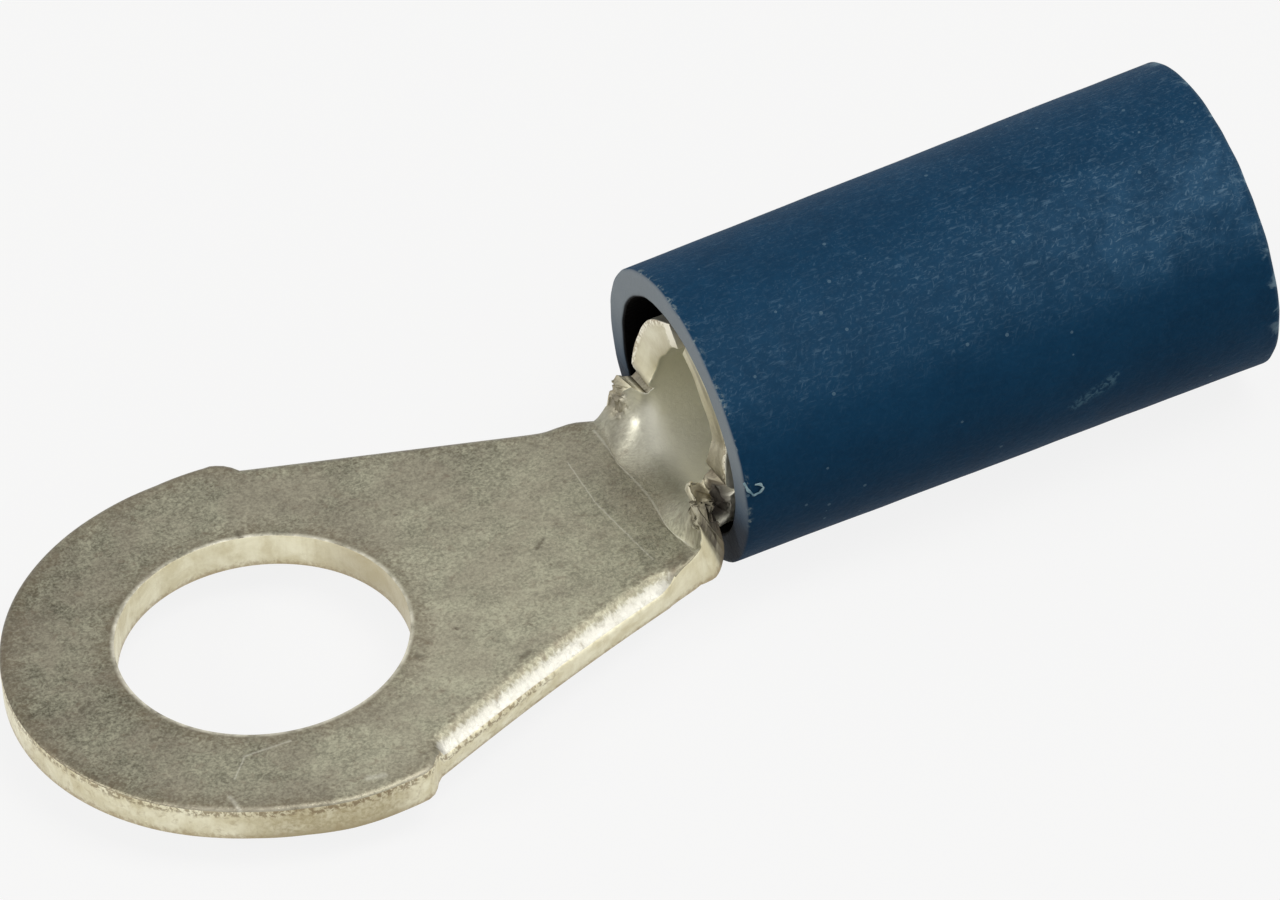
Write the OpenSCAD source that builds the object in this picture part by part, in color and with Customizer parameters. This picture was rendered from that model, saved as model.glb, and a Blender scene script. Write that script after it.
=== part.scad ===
// Insulated ring terminal: one folded, tinned sheet whose flat ring and neck roll up into
// an open wire barrel, with a soft plastic sleeve pushed over the barrel.
//
// Origin: centre of the stud hole, on the underside of the tongue.
// +X runs along the terminal towards the wire, +Z is the face under the nut.
// All sizes are in millimetres.

/* [Sheet and ring] */
// Thickness of the sheet
sheet_t = 0.7; // [0.5:0.05:0.9]
// Diameter of the stud hole, for an M5 stud
stud_hole_d = 5.3; // [4.3:0.1:6.4]
// Outside diameter of the ring
ring_d = 9.4; // [9:0.05:12]
// Width of the rolled upper edge that the blanking punch leaves
die_roll_w = 0.3; // [0.15:0.05:0.4]
// Depth of the rolled upper edge
die_roll_depth = 0.1; // [0.05:0.01:0.12]
// Width of the softened edge at both ends of the stud hole
hole_edge = 0.05; // [0.02:0.01:0.1]

/* [Neck] */
// Distance from the hole's centre to the line where the neck starts to roll up
tongue_reach = 7.65; // [7:0.05:12]
// Distance from the hole's centre to the cropped corners at the ring's sides
corner_x = 1.05; // [0.6:0.05:1.6]
// Length along the terminal over which the side steps in from the corner to the neck
corner_run = 0.4; // [0.2:0.05:0.6]
// Width of the neck where it leaves the ring
neck_start_w = 8.7; // [7.6:0.05:9]
// Width of the neck at the line where it starts to roll up
neck_end_w = 4.26; // [3.8:0.02:4.6]

/* [Wire barrel] */
// Bore of the wire barrel
barrel_bore_d = 2.5; // [2.1:0.1:2.8]
// Length of the closed barrel, from the wings' front edge to the rear end
barrel_l = 6.1; // [4:0.1:8]
// Length over which the flat neck rolls up to the barrel's curve
throat_l = 0.5; // [0.4:0.05:1]
// Length of the open trough between the throat and the wings
trough_l = 0.18; // [0.14:0.02:0.4]
// Angle through which each side of the trough is rolled up
trough_turn = 82; // [70:1:86]
// How far the wings' front faces lean back between mid height and the top
wing_lean = 0.27; // [0.1:0.01:0.6]
// Width of the relief slit between the trough's rim and each wing
relief_w = 0.06; // [0.04:0.01:0.1]
// Depth of the relief slit below the trough's rim
relief_depth = 0.2; // [0.1:0.05:0.4]
// Gap between the two wings where they meet at the top
seam_gap = 0.06; // [0.04:0.01:0.2]
// Depth of the groove that the wings' rounded outer edges leave along the seam
seam_groove = 0.12; // [0.06:0.02:0.2]
// Softened edge at the barrel's rear end
barrel_edge = 0.08; // [0.04:0.02:0.15]
// Depth of the serrations inside the barrel, which grip the crimped strands
serration_depth = 0.1; // [0.04:0.01:0.2]
// Width of one serration along the barrel
serration_w = 0.4; // [0.2:0.05:0.7]
// Distance from one serration to the next
serration_pitch = 1.1; // [0.9:0.05:1.2]

/* [Insulating sleeve] */
// Play of the barrel across the sleeve's bore
sleeve_play = 0.62; // [0.3:0.02:0.9]
// Clearance between the barrel's underside and the sleeve's bore
sleeve_clearance = 0.03; // [0.01:0.01:0.1]
// Angle at which the sleeve sits on the barrel, rear end up
sleeve_tilt = 0.8; // [0:0.1:1]
// Wall of the sleeve at its front
sleeve_wall = 0.55; // [0.4:0.01:0.8]
// How far the sleeve's front stands behind the wings' front edge
sleeve_setback = 0.05; // [0:0.01:0.4]
// Growth of the sleeve's outside diameter from its front to the wire entry
sleeve_flare = 0.2; // [0.02:0.02:0.3]
// Length of the wire entry, from the barrel's rear end to the sleeve's rear end
entry_l = 4.6; // [3.5:0.1:7]
// How much wider the entry's bore is than the bore over the barrel
entry_step = 0.32; // [0.06:0.02:0.36]
// Length of the slope between the two bores
entry_slope_l = 0.3; // [0.1:0.05:0.6]
// Rounding of the sleeve's rims
sleeve_edge = 0.1; // [0.05:0.01:0.19]

/* [Hidden] */

$fn = 96;
over = 0.5;                                  // reach of a cutter past the face it opens
run_out = 0.06;                              // run-out of a rolled edge past the corner it ends at

ring_r = ring_d / 2;
bore_r = barrel_bore_d / 2;
barrel_r = bore_r + sheet_t;
barrel_z = barrel_r;                         // the barrel's underside is level with the tongue's
throat_end = tongue_reach + throat_l;
wing_x = throat_end + trough_l;
barrel_end = wing_x + barrel_l;
mid_r = bore_r + sheet_t / 2;                // radius of the rolled sheet's middle layer
neck_end = neck_end_w / 2;
thinning = 0.01;                             // what the bend takes off each face of the sheet
throat_sink = 0.12;                          // share of the throat's length sunk into its neighbours
rim_z = barrel_z - bore_r * cos(trough_turn);  // height of the trough's rim
trough_half = trough_turn * PI / 180 * mid_r - thinning;

sleeve_bore_r = barrel_r + sleeve_play / 2;
sleeve_r = sleeve_bore_r + sleeve_wall;
sleeve_x = wing_x + sleeve_setback;
sleeve_seat_z = sleeve_bore_r / cos(sleeve_tilt) - sleeve_clearance; // its axis over the barrel's rear end
sleeve_z = sleeve_seat_z - (barrel_end - sleeve_x) * tan(sleeve_tilt);
sleeve_l = barrel_end + entry_l - sleeve_x;
entry_bore_r = sleeve_bore_r + entry_step / 2;

THROAT_STEPS = 12;                           // sections along the throat
ARC_STEPS = 28;                              // strips across the rolled sheet

// ---- tongue ---------------------------------------------------------------------------

// Drop of the rolled upper edge at the distance d outside the line where it starts
roll_r = (die_roll_w * die_roll_w + die_roll_depth * die_roll_depth) / (2 * die_roll_depth);
function roll_drop(d) = roll_r - sqrt(roll_r * roll_r - pow(min(max(d, 0), die_roll_w), 2));

// Area outside the rolled edge, with the sheet's square corner at [0, 0]
module roll_section() {
    translate([-die_roll_w, -roll_r])
        difference() {
            square([die_roll_w + over, roll_r + over]);
            circle(r = roll_r);
        }
}

// Rolls the upper edge of the straight side from a to b, with the sheet on its left, and
// runs out by the given lengths past the side's two ends
module roll_side(a, b, before, after) {
    turn = atan2(b.y - a.y, b.x - a.x);
    translate([a.x, a.y, sheet_t])
        rotate([90, 0, turn - 90])
            translate([0, 0, -after - norm(b - a)])
                linear_extrude(norm(b - a) + before + after) roll_section();
}

// Rolls the upper edge of the ring's free half
module roll_ring() {
    translate([0, 0, sheet_t])
        rotate([0, 0, 90])
            rotate_extrude(angle = 180)
                translate([ring_r, 0]) roll_section();
}

corner = [corner_x, ring_r];
neck_start = [corner_x + corner_run, neck_start_w / 2];
neck_tip = [tongue_reach, neck_end];

function near_side(p) = [p.x, -p.y];

module tongue_outline() {
    intersection() {
        circle(r = ring_r);
        translate([-2 * ring_r, -2 * ring_r]) square([2 * ring_r + corner_x / 2, 4 * ring_r]);
    }
    polygon([
        [0, -ring_r], near_side(corner), near_side(neck_start), near_side(neck_tip),
        neck_tip, neck_start, corner, [0, ring_r]
    ]);
}

module tongue() {
    difference() {
        linear_extrude(sheet_t) tongue_outline();
        stud_hole();
        roll_ring();
        roll_side([0, -ring_r], near_side(corner), 0, run_out);
        roll_side(near_side(neck_start), near_side(neck_tip), run_out, over);
        roll_side(neck_tip, neck_start, over, run_out);
        roll_side(corner, [0, ring_r], run_out, 0);
    }
}

// Stud hole with a small bevel at each end
module stud_hole() {
    hole_r = stud_hole_d / 2;
    translate([0, 0, -over]) cylinder(r = hole_r, h = sheet_t + 2 * over);
    translate([0, 0, sheet_t - hole_edge]) cylinder(r1 = hole_r, r2 = hole_r + 2 * hole_edge, h = 2 * hole_edge);
    translate([0, 0, -hole_edge]) cylinder(r1 = hole_r + 2 * hole_edge, r2 = hole_r, h = 2 * hole_edge);
}

// ---- throat ---------------------------------------------------------------------------

function ease(u) = u * u * (3 - 2 * u);

// Point of the sheet rolled to the curvature k: s runs across the sheet from its centre
// line and h up from its underside
function rolled(x, s, h, k) =
    let (bend_r = 1 / k, arm = bend_r + sheet_t / 2 - h, a = s * k * 180 / PI)
    [x, arm * sin(a), sheet_t / 2 + bend_r - arm * cos(a)];

// Closed loop round the sheet's section: u is the share of the throat's length, and below 0
// and above 1 the sheet runs on into the neck and the trough
function throat_section(u) =
    let (
        t = min(max(u, 0), 1),
        k = max(ease(t), 0.0001) / mid_r,
        half = neck_end + (trough_half - neck_end) * t * t - thinning,
        x = tongue_reach + throat_l * u,
        across = [for (i = [0:ARC_STEPS]) half * (2 * i / ARC_STEPS - 1)]
    )
    concat(
        [for (s = across) rolled(x, s, thinning, k)],
        [
            for (i = [ARC_STEPS:-1:0])
                let (drop = (1 - t) * roll_drop(abs(across[i]) - half + die_roll_w))
                rolled(x, across[i], sheet_t - thinning - drop, k)
        ]
    );

// Sheet between the flat neck and the half-round trough, sunk into both at its ends
module throat() {
    loop = 2 * (ARC_STEPS + 1);
    shares = concat([-throat_sink], [for (i = [0:THROAT_STEPS]) i / THROAT_STEPS], [1 + throat_sink]);
    last = len(shares) - 1;
    points = [for (u = shares) each throat_section(u)];
    sides = [
        for (i = [0:last - 1], j = [0:loop - 1])
            let (a = i * loop + j, b = i * loop + (j + 1) % loop)
            each [[a, a + loop, b + loop], [a, b + loop, b]]
    ];
    // Each end is closed strip by strip, between the underside and the upper face
    front = [
        for (j = [0:ARC_STEPS - 1])
            each [[j, j + 1, loop - 2 - j], [j, loop - 2 - j, loop - 1 - j]]
    ];
    rear = [for (face = front) [face[2] + last * loop, face[1] + last * loop, face[0] + last * loop]];
    polyhedron(points, concat(sides, front, rear));
}

// ---- wire barrel ----------------------------------------------------------------------

module along_x(x, r, l) {
    translate([x, 0, barrel_z]) rotate([0, 90, 0]) cylinder(r = r, h = l);
}

// Barrel with the trough under its front, before its bore and seam are cut
module barrel_body() {
    along_x(throat_end, barrel_r, barrel_end - barrel_edge - throat_end);
    translate([barrel_end - barrel_edge, 0, barrel_z])
        rotate([0, 90, 0]) cylinder(r1 = barrel_r, r2 = barrel_r - barrel_edge, h = barrel_edge);
}

// Space over the trough, in front of the wings' leaning faces
module wing_front() {
    top = barrel_r + over;
    translate([0, barrel_r + over, barrel_z])
        rotate([90, 0, 0])
            linear_extrude(2 * (barrel_r + over))
                polygon([
                    [throat_end - over, rim_z - barrel_z], [wing_x, rim_z - barrel_z], [wing_x, 0],
                    [wing_x + wing_lean * top / barrel_r, top], [throat_end - over, top]
                ]);
}

// Slit that frees each wing's root from the trough's rim
module relief_slits() {
    translate([wing_x - relief_w, -barrel_r - over, rim_z - relief_depth])
        cube([relief_w, 2 * (barrel_r + over), relief_depth + over]);
}

// Butt seam along the top, with the groove between the wings' rounded outer edges
module seam() {
    run = barrel_end - throat_end + 2 * over;
    translate([throat_end - over, -seam_gap / 2, barrel_z]) cube([run, seam_gap, barrel_r + over]);
    translate([throat_end - over, 0, barrel_z + barrel_r])
        rotate([45, 0, 0])
            translate([0, -seam_groove / sqrt(2), -seam_groove / sqrt(2)])
                cube([run, sqrt(2) * seam_groove, sqrt(2) * seam_groove]);
}

// Shallow ring grooves in the bore, centred between the wings' front and the rear end
module serrations() {
    middle = (wing_x + barrel_end) / 2;
    for (i = [-1, 0, 1])
        along_x(middle + i * serration_pitch - serration_w / 2, bore_r + serration_depth, serration_w);
}

module wire_barrel() {
    difference() {
        barrel_body();
        along_x(throat_end - over, bore_r, barrel_end - throat_end + 2 * over);
        serrations();
        wing_front();
        relief_slits();
        seam();
    }
}

module terminal() {
    color("#b9b59c") {
        tongue();
        throat();
        wire_barrel();
    }
}

// ---- insulating sleeve ----------------------------------------------------------------

// Section of the sleeve's wall: its axis is the Y axis, its front rim lies on the X axis
module sleeve_section() {
    e = sleeve_edge;
    inner = sleeve_bore_r;
    outer = sleeve_r;
    entry_outer = sleeve_r + sleeve_flare / 2;
    entry_start = sleeve_l - entry_l;
    polygon([
        [inner, e], [inner + e, 0], [outer - e, 0], [outer, e],
        [entry_outer, sleeve_l - e], [entry_outer - e, sleeve_l],
        [entry_bore_r + e, sleeve_l], [entry_bore_r, sleeve_l - e],
        [entry_bore_r, entry_start + entry_slope_l], [inner, entry_start]
    ]);
    translate([inner + e, e]) circle(r = e);
    translate([outer - e, e]) circle(r = e);
}

module insulating_sleeve() {
    color("#1d4468")
        translate([sleeve_x, 0, sleeve_z])
            rotate([0, 90 - sleeve_tilt, 0])
                rotate_extrude() sleeve_section();
}

terminal();
insulating_sleeve();
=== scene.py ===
# %% [markdown]
# The object is a small ring terminal. A stamped and rolled piece of tinned copper sheet holds a screw in
# its flat ring and a stripped wire in its barrel, and a soft blue vinyl sleeve insulates the crimp. The
# solid model comes first, because it fixes every size and place. The pieces below are modelled again in
# finer detail and stand in for the plain solids, which stay behind for collisions.

# %% Load the terminal's frame
import math

import bpy
import numpy as np
from mathutils import Matrix, Vector, noise


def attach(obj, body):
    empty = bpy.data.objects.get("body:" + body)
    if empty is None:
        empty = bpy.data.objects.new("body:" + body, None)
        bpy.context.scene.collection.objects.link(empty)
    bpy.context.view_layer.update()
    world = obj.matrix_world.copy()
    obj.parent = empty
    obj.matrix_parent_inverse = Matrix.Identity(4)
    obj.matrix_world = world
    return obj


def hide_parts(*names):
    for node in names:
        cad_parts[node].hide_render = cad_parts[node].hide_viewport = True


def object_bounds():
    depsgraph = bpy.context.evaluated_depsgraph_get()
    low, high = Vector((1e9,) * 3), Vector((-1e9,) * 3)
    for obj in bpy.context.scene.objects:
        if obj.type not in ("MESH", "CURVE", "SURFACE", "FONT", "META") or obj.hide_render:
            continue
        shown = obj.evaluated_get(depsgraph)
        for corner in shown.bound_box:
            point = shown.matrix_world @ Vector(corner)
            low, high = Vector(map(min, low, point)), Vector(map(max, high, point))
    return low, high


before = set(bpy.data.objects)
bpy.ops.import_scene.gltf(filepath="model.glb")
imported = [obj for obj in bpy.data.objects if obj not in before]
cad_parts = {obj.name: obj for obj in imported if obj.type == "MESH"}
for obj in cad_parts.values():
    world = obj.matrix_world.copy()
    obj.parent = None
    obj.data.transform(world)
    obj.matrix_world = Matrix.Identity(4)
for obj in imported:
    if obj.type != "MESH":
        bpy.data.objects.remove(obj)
cad_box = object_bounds()
MM = 0.001
print("solids:", sorted(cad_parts), "size in mm:", [round((b - a) / MM, 2) for a, b in zip(*cad_box)])


# %% [markdown]
# The real terminal is cut from one sheet 0.7 mm thick, so nearly every size follows from that thickness.
# Working in millimetres keeps the numbers readable on such a small part. One factor turns them into metres
# when a mesh is written.

# %% Sizes of the sheet, in millimetres
SHEET_T = 0.7
HOLE_R = 2.65
BORE_R = 1.25
MID_R = BORE_R + SHEET_T / 2
TONGUE_END = 7.65
WING_X = 8.33
BARREL_END = 14.43
NECK_START_X, NECK_START_Y = 1.45, 4.36
NECK_TAPER = (NECK_START_Y - 2.13) / (TONGUE_END - NECK_START_X)
print("barrel:", round(BARREL_END - WING_X, 2), "mm long, middle of its wall at radius", MID_R, "mm")


# %% [markdown]
# Before it is rolled, the terminal is a flat blank: a ring, two small square corners where the press tool
# ends, and a neck that narrows to the barrel strip. The blank could be drawn as a curve and filled, but a
# filled face has no rows to bend along. So the outline is kept as a list of points, and rings of edges will
# run from the hole out to it.

# %% Outline of the flat blank
RING_ANGLES = [78, 90, 105, 122, 137, 150, 170, 180, 190, 205, 220, 234, 243, 254, 264, 270, 276, 281.9]
RING_RADII = [4.777, 4.68, 4.67, 4.69, 4.71, 4.72, 4.73, 4.73, 4.72, 4.70, 4.68, 4.65, 4.65, 4.70, 4.80, 4.83,
              4.85, 4.886]
NEAR_CORNER = [(1.01, -4.78), (1.15, -4.71), (1.25, -4.60), (1.33, -4.48), (1.45, -4.36)]
FAR_CORNER = [(1.45, 4.47), (1.33, 4.55), (1.20, 4.63), (1.10, 4.67), (0.993, 4.673)]
ACROSS = 57
FAR_STEPS, RING_STEPS, NEAR_STEPS = 49, 141, 61


def near_edge(x):
    share = np.clip((x - NECK_START_X) / (TONGUE_END - NECK_START_X), 0, 1)
    return -(NECK_START_Y - NECK_TAPER * (x - NECK_START_X)) + 0.1 * np.sin(math.pi * share)


def far_edge(x):
    return NECK_START_Y - NECK_TAPER * (x - NECK_START_X) + 0.11 + 0.05 * np.exp(-((x - 7.2) / 0.4) ** 2)


EDGE_NEAR, EDGE_FAR = near_edge(TONGUE_END), far_edge(TONGUE_END)


def outline_points():
    across = [(TONGUE_END, y) for y in np.linspace(EDGE_NEAR, EDGE_FAR, ACROSS)]
    back = [(x, far_edge(x)) for x in np.linspace(TONGUE_END, NECK_START_X, FAR_STEPS)[1:-1]]
    angles = np.linspace(RING_ANGLES[0], RING_ANGLES[-1], RING_STEPS)
    ring = [(r * math.cos(math.radians(a)), r * math.sin(math.radians(a)))
            for a, r in zip(angles, np.interp(angles, RING_ANGLES, RING_RADII))][1:-1]
    forth = [(x, near_edge(x)) for x in np.linspace(NECK_START_X, TONGUE_END, NEAR_STEPS)[1:-1]]
    return np.array(across + back + FAR_CORNER + ring + NEAR_CORNER + forth)


outline = outline_points()
print("outline points:", len(outline))


# %% [markdown]
# The tongue is the flat part that a screw clamps. Its rings of edges are laid out first: crowded near the
# hole and the rim, where the sheet is rounded over, and wide in between, where it is flat. Each ring keeps
# a set distance from the outline, measured square to it, so that the rounding comes out even all the way
# round.

# %% Rings between the hole and the rim
NEAR_HOLE = [0.0, 0.06, 0.13, 0.25]
NEAR_RIM = [0.5, 0.36, 0.30, 0.25, 0.2, 0.15, 0.1, 0.05, 0.0]
MIDDLE_SPANS = 8


def unit(rows):
    return rows / np.linalg.norm(rows, axis=1)[:, None]


def normals_of(loop):
    ahead = np.roll(loop, -1, axis=0) - np.roll(loop, 1, axis=0)
    return unit(np.stack([ahead[:, 1], -ahead[:, 0]], axis=1))


def blank_rings():
    hole = HOLE_R * unit(outline)
    ray = outline - hole
    length = np.linalg.norm(ray, axis=1)
    ray /= length[:, None]
    out = normals_of(outline)
    out[:ACROSS] = (1, 0)
    lean = np.clip((ray * out).sum(axis=1), 0.5, 1)
    first, last = NEAR_HOLE[-1], length - NEAR_RIM[0] / lean
    rings = [hole + ray * d for d in NEAR_HOLE]
    for k in range(1, MIDDLE_SPANS):
        rings.append(hole + ray * (first + (last - first) * k / MIDDLE_SPANS)[:, None])
    return np.array(rings + [outline - ray * (d / lean)[:, None] for d in NEAR_RIM])


rings = blank_rings()
print("rings:", len(rings))


# %% [markdown]
# In Blender the tongue starts as a plain circle for the stud hole. It is extruded outward ring by ring, and
# every ring is then laid on its place. A mesh could be built from lists of points instead, but then nothing
# of how the part is shaped by hand would be left to learn from. Operators act on whatever is selected, so
# each step starts from an empty selection. Two helpers read a mesh as rows of millimetres and write it
# back.

# %% Flat tongue
def deselect():
    if bpy.context.object and bpy.context.object.mode != "OBJECT":
        bpy.ops.object.mode_set(mode="OBJECT")
    bpy.ops.object.select_all(action="DESELECT")


def coordinates(piece):
    flat = np.empty(len(piece.data.vertices) * 3)
    piece.data.vertices.foreach_get("co", flat)
    return flat.reshape(-1, 3) / MM


def place(piece, points):
    piece.data.vertices.foreach_set("co", (points * MM).ravel())
    piece.data.update()


count = len(outline)
deselect()
bpy.ops.mesh.primitive_circle_add(vertices=count, radius=HOLE_R * MM, location=(0, 0, 0))
terminal = bpy.context.object
terminal.name = terminal.data.name = "stamped_terminal"
bpy.ops.object.mode_set(mode="EDIT")
bpy.ops.mesh.select_all(action="SELECT")
for step in range(1, len(rings)):
    bpy.ops.mesh.extrude_edges_move(TRANSFORM_OT_translate={"value": (0, 0, 0)})
    grow = (1 + step) / step
    bpy.ops.transform.resize(value=(grow, grow, 1), center_override=(0, 0, 0))
bpy.ops.object.mode_set(mode="OBJECT")
points = coordinates(terminal)
ring_no = np.rint(np.hypot(points[:, 0], points[:, 1]) / HOLE_R).astype(int) - 1
spot_no = np.rint(np.degrees(np.arctan2(points[:, 1], points[:, 0])) / (360 / count)).astype(int) % count
points[:, :2] = rings[ring_no, spot_no]
points[:, 2] = SHEET_T / 2
place(terminal, points)
print("tongue:", len(terminal.data.polygons), "faces")


# %% [markdown]
# On the real blank the strip behind the neck goes on in the same sheet and becomes the throat and the
# barrel. The end edge of the tongue is picked by its place and extruded row by row, with short rows where
# the sheet bends sharply and longer ones along the straight barrel. A separate tube joined on later would
# show a seam that the real part lacks.

# %% Strip for the throat and barrel
BEND_ROWS = [7.70 + 0.05 * k for k in range(4)] + list(np.linspace(7.88, 8.30, 15))
BARREL_ROWS = ([WING_X, 8.38, 8.44, 8.52, 8.62, 8.74, 8.88, 9.04] + list(np.linspace(9.25, 14.1, 22))
               + [14.25, 14.34, BARREL_END])


def activate(piece):
    deselect()
    piece.select_set(True)
    bpy.context.view_layer.objects.active = piece


def edit(piece, mode="EDGE"):
    activate(piece)
    bpy.ops.object.mode_set(mode="EDIT")
    bpy.ops.mesh.select_mode(type=mode)


def deselect_mesh(piece):
    for part in (piece.data.vertices, piece.data.edges, piece.data.polygons):
        part.foreach_set("select", np.zeros(len(part), dtype=bool))


def select_edges(piece, wanted):
    """Select every edge whose two ends lie in the same one of the wanted sets of points."""
    pairs = np.empty(len(piece.data.edges) * 2, dtype=np.int32)
    piece.data.edges.foreach_get("vertices", pairs)
    pairs = pairs.reshape(-1, 2)
    edges = np.any([inside[pairs].all(axis=1) for inside in wanted], axis=0)
    chosen = np.zeros(len(piece.data.vertices), dtype=bool)
    chosen[pairs[edges].ravel()] = True
    deselect_mesh(piece)
    piece.data.edges.foreach_set("select", edges)
    piece.data.vertices.foreach_set("select", chosen)


def extrude_edges(move):
    bpy.ops.mesh.extrude_edges_move(TRANSFORM_OT_translate={"value": tuple(MM * m for m in move)})


select_edges(terminal, [np.abs(points[:, 0] - TONGUE_END) < 1e-4])
edit(terminal)
last = TONGUE_END
for row in BEND_ROWS + BARREL_ROWS:
    extrude_edges((row - last, 0, 0))
    last = row
bpy.ops.object.mode_set(mode="OBJECT")
print("strip:", len(BEND_ROWS), "rows in the bend,", len(BARREL_ROWS), "rows along the barrel")


# %% [markdown]
# Two wings stand out from the strip. Rolled up, they close over the wire and meet in the butt seam on top.
# They are extruded sideways in narrow columns, because every column edge becomes one small facet of the
# barrel.

# %% Wings
TROUGH_HALF = math.radians(82) * MID_R
NEAR_TIP, FAR_TIP = 4.95, 4.87
WING_COLUMNS, COLUMN = 34, 0.08
for side, edge_y in ((-1, EDGE_NEAR), (1, EDGE_FAR)):
    points = coordinates(terminal)
    select_edges(terminal, [(np.abs(points[:, 1] - edge_y) < 1e-4) & (points[:, 0] > WING_X - 1e-4)])
    edit(terminal)
    for _ in range(WING_COLUMNS):
        extrude_edges((0, side * COLUMN, 0))
    bpy.ops.object.mode_set(mode="OBJECT")
deselect_mesh(terminal)
print("blank:", len(terminal.data.polygons), "faces")


# %% [markdown]
# The blank is still a face without thickness. A Solidify modifier gives the sheet its wall, centred on the
# blank. Extruding all faces up would do the same, but the modifier also keeps the wall even at the corners.

# %% Thickness of the sheet
def apply_modifiers(piece):
    activate(piece)
    for modifier in list(piece.modifiers):
        bpy.ops.object.modifier_apply(modifier=modifier.name)


activate(terminal)
bpy.ops.object.mode_set(mode="EDIT")
bpy.ops.mesh.select_all(action="SELECT")
bpy.ops.mesh.normals_make_consistent(inside=False)
bpy.ops.object.mode_set(mode="OBJECT")
wall = terminal.modifiers.new("wall", "SOLIDIFY")
wall.thickness, wall.offset, wall.use_even_offset = SHEET_T * MM, 0.0, True
apply_modifiers(terminal)
print("solid blank:", len(terminal.data.polygons), "faces")


# %% [markdown]
# A stamping has a square cut edge with a hair of rounding. A bevel held by edge weights rounds only the
# corners between the faces and the cut sides. An angle limit would work here too, but weights say plainly
# which edges are meant: those that join an upright face to a level one.

# %% Softened edges
BEVEL_W = 0.03


def upright_faces(piece):
    normals = np.empty(len(piece.data.polygons) * 3)
    piece.data.polygons.foreach_get("normal", normals)
    return np.abs(normals.reshape(-1, 3)[:, 2]) < 0.5


def remember(piece, name, values, kind="FLOAT", domain="POINT"):
    made = piece.data.attributes.new(name, kind, domain)
    made.data.foreach_set("vector" if kind == "FLOAT_VECTOR" else "value", np.ravel(values))


kinds_at = {}
for polygon, upright in zip(terminal.data.polygons, upright_faces(terminal)):
    for key in polygon.edge_keys:
        kinds_at.setdefault(key, set()).add(bool(upright))
sharp = [float(len(kinds_at[tuple(sorted(edge.vertices))]) == 2) for edge in terminal.data.edges]
remember(terminal, "bevel_weight_edge", sharp, domain="EDGE")
soften = terminal.modifiers.new("soften", "BEVEL")
soften.limit_method, soften.width, soften.segments = "WEIGHT", BEVEL_W * MM, 2
apply_modifiers(terminal)
print("softened:", int(sum(sharp)), "edges, now", len(terminal.data.polygons), "faces")


# %% [markdown]
# The press rolls the long edges of the neck over before it cuts them, most of all on one side, and that
# slope is what catches the light. It is made by lowering the top surface near the edge, by the distance of
# each point from the outline. A wide bevel would cut the outline back as well, so the height is moved
# instead.

# %% Rolled edges of the stamping
def smooth(low, high, value):
    t = np.clip((value - low) / (high - low), 0.0, 1.0)
    return t * t * (3 - 2 * t)


def distance_to(points, line):
    """Distance of each point from a line of points, and the x of the nearest place on it."""
    best = np.full(len(points), 1e9)
    nearest_x = np.zeros(len(points))
    for a, b in zip(line[:-1], line[1:]):
        d = b - a
        t = np.clip(((points - a) @ d) / (d @ d), 0, 1)
        gap = np.linalg.norm(points - a - t[:, None] * d, axis=1)
        closer = gap < best
        best[closer] = gap[closer]
        nearest_x[closer] = (a[0] + t * d[0])[closer]
    return best, nearest_x


points = coordinates(terminal)
flat = points.copy()
side_line = np.vstack([outline[ACROSS - 1:], outline[:1]])
gap, edge_x = distance_to(points[:, :2], side_line)
near_side = points[:, 1] < 0
on_neck = smooth(1.38, 1.6, edge_x) * (1 - smooth(6.7, 7.4, edge_x))
roll_width = 0.10 + np.where(near_side, 0.26, 0.18) * on_neck
roll_depth = 0.06 + np.where(near_side, 0.27, 0.16) * on_neck
drop = roll_depth * np.clip(1 - gap / roll_width, 0, 1) ** 1.7
drop = np.where(points[:, 0] > TONGUE_END + 0.4, 0, drop)
points[:, 2] -= drop * smooth(0.25, 0.5, points[:, 2])
place(terminal, points)
print("rolled edges: down by", round(float(drop.max()), 2), "mm at most")


# %% [markdown]
# The tin plating was on the sheet before it was rolled, so its stains and scratches follow the sheet round
# the bend. The flat place of every point is stored on the mesh for the finish to read, together with what
# is a cut side, how far the rim is and where a highlight is painted on the rolled edge. Object coordinates
# would draw the same stains straight through the bend.

# %% Remember the flat blank for the finish
from_rim = np.minimum(gap, np.hypot(flat[:, 0], flat[:, 1]) - HOLE_R)
# Painted highlight: the near rolled edge of the neck is marked to be painted bright, and the far one only
# faintly.
roll_highlight_share = np.where(near_side, on_neck, 0.15 * on_neck) * (1 - smooth(0.06, 0.33, gap))
remember(terminal, "blank", flat, kind="FLOAT_VECTOR")
remember(terminal, "cut", upright_faces(terminal).astype(float), domain="FACE")
remember(terminal, "rim_gap", np.where(flat[:, 0] > TONGUE_END, 2.0, from_rim))
remember(terminal, "roll_highlight", roll_highlight_share)
print("remembered:", [name for name in ("blank", "cut", "rim_gap", "roll_highlight")
                      if name in terminal.data.attributes])


# %% [markdown]
# The press then curls the strip into the barrel. The bend starts at the end of the tongue and tightens
# until the sheet is a full tube, and it does not start and end in the same row all across the sheet. A
# simple deform modifier bends everything by one law, so the curl is written out here: each row is an arc
# whose radius shrinks along the part, and the wing ends stay straight near the seam.

# %% Law of the bend
BEND_V = [-2.3, -1.6, -0.8, 0.0, 0.8, 1.6, 2.3]
BEND_START = np.polyfit(BEND_V, [7.95, 7.72, 7.60, 7.58, 7.60, 7.70, 7.79], 5)
BEND_END = np.polyfit(BEND_V, [8.50, 8.75, 8.95, 9.0, 8.9, 8.7, 8.6], 5)
FLAT_V = math.radians(150) * MID_R
BLUR = (-0.06, -0.02, 0.02, 0.06)


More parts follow.
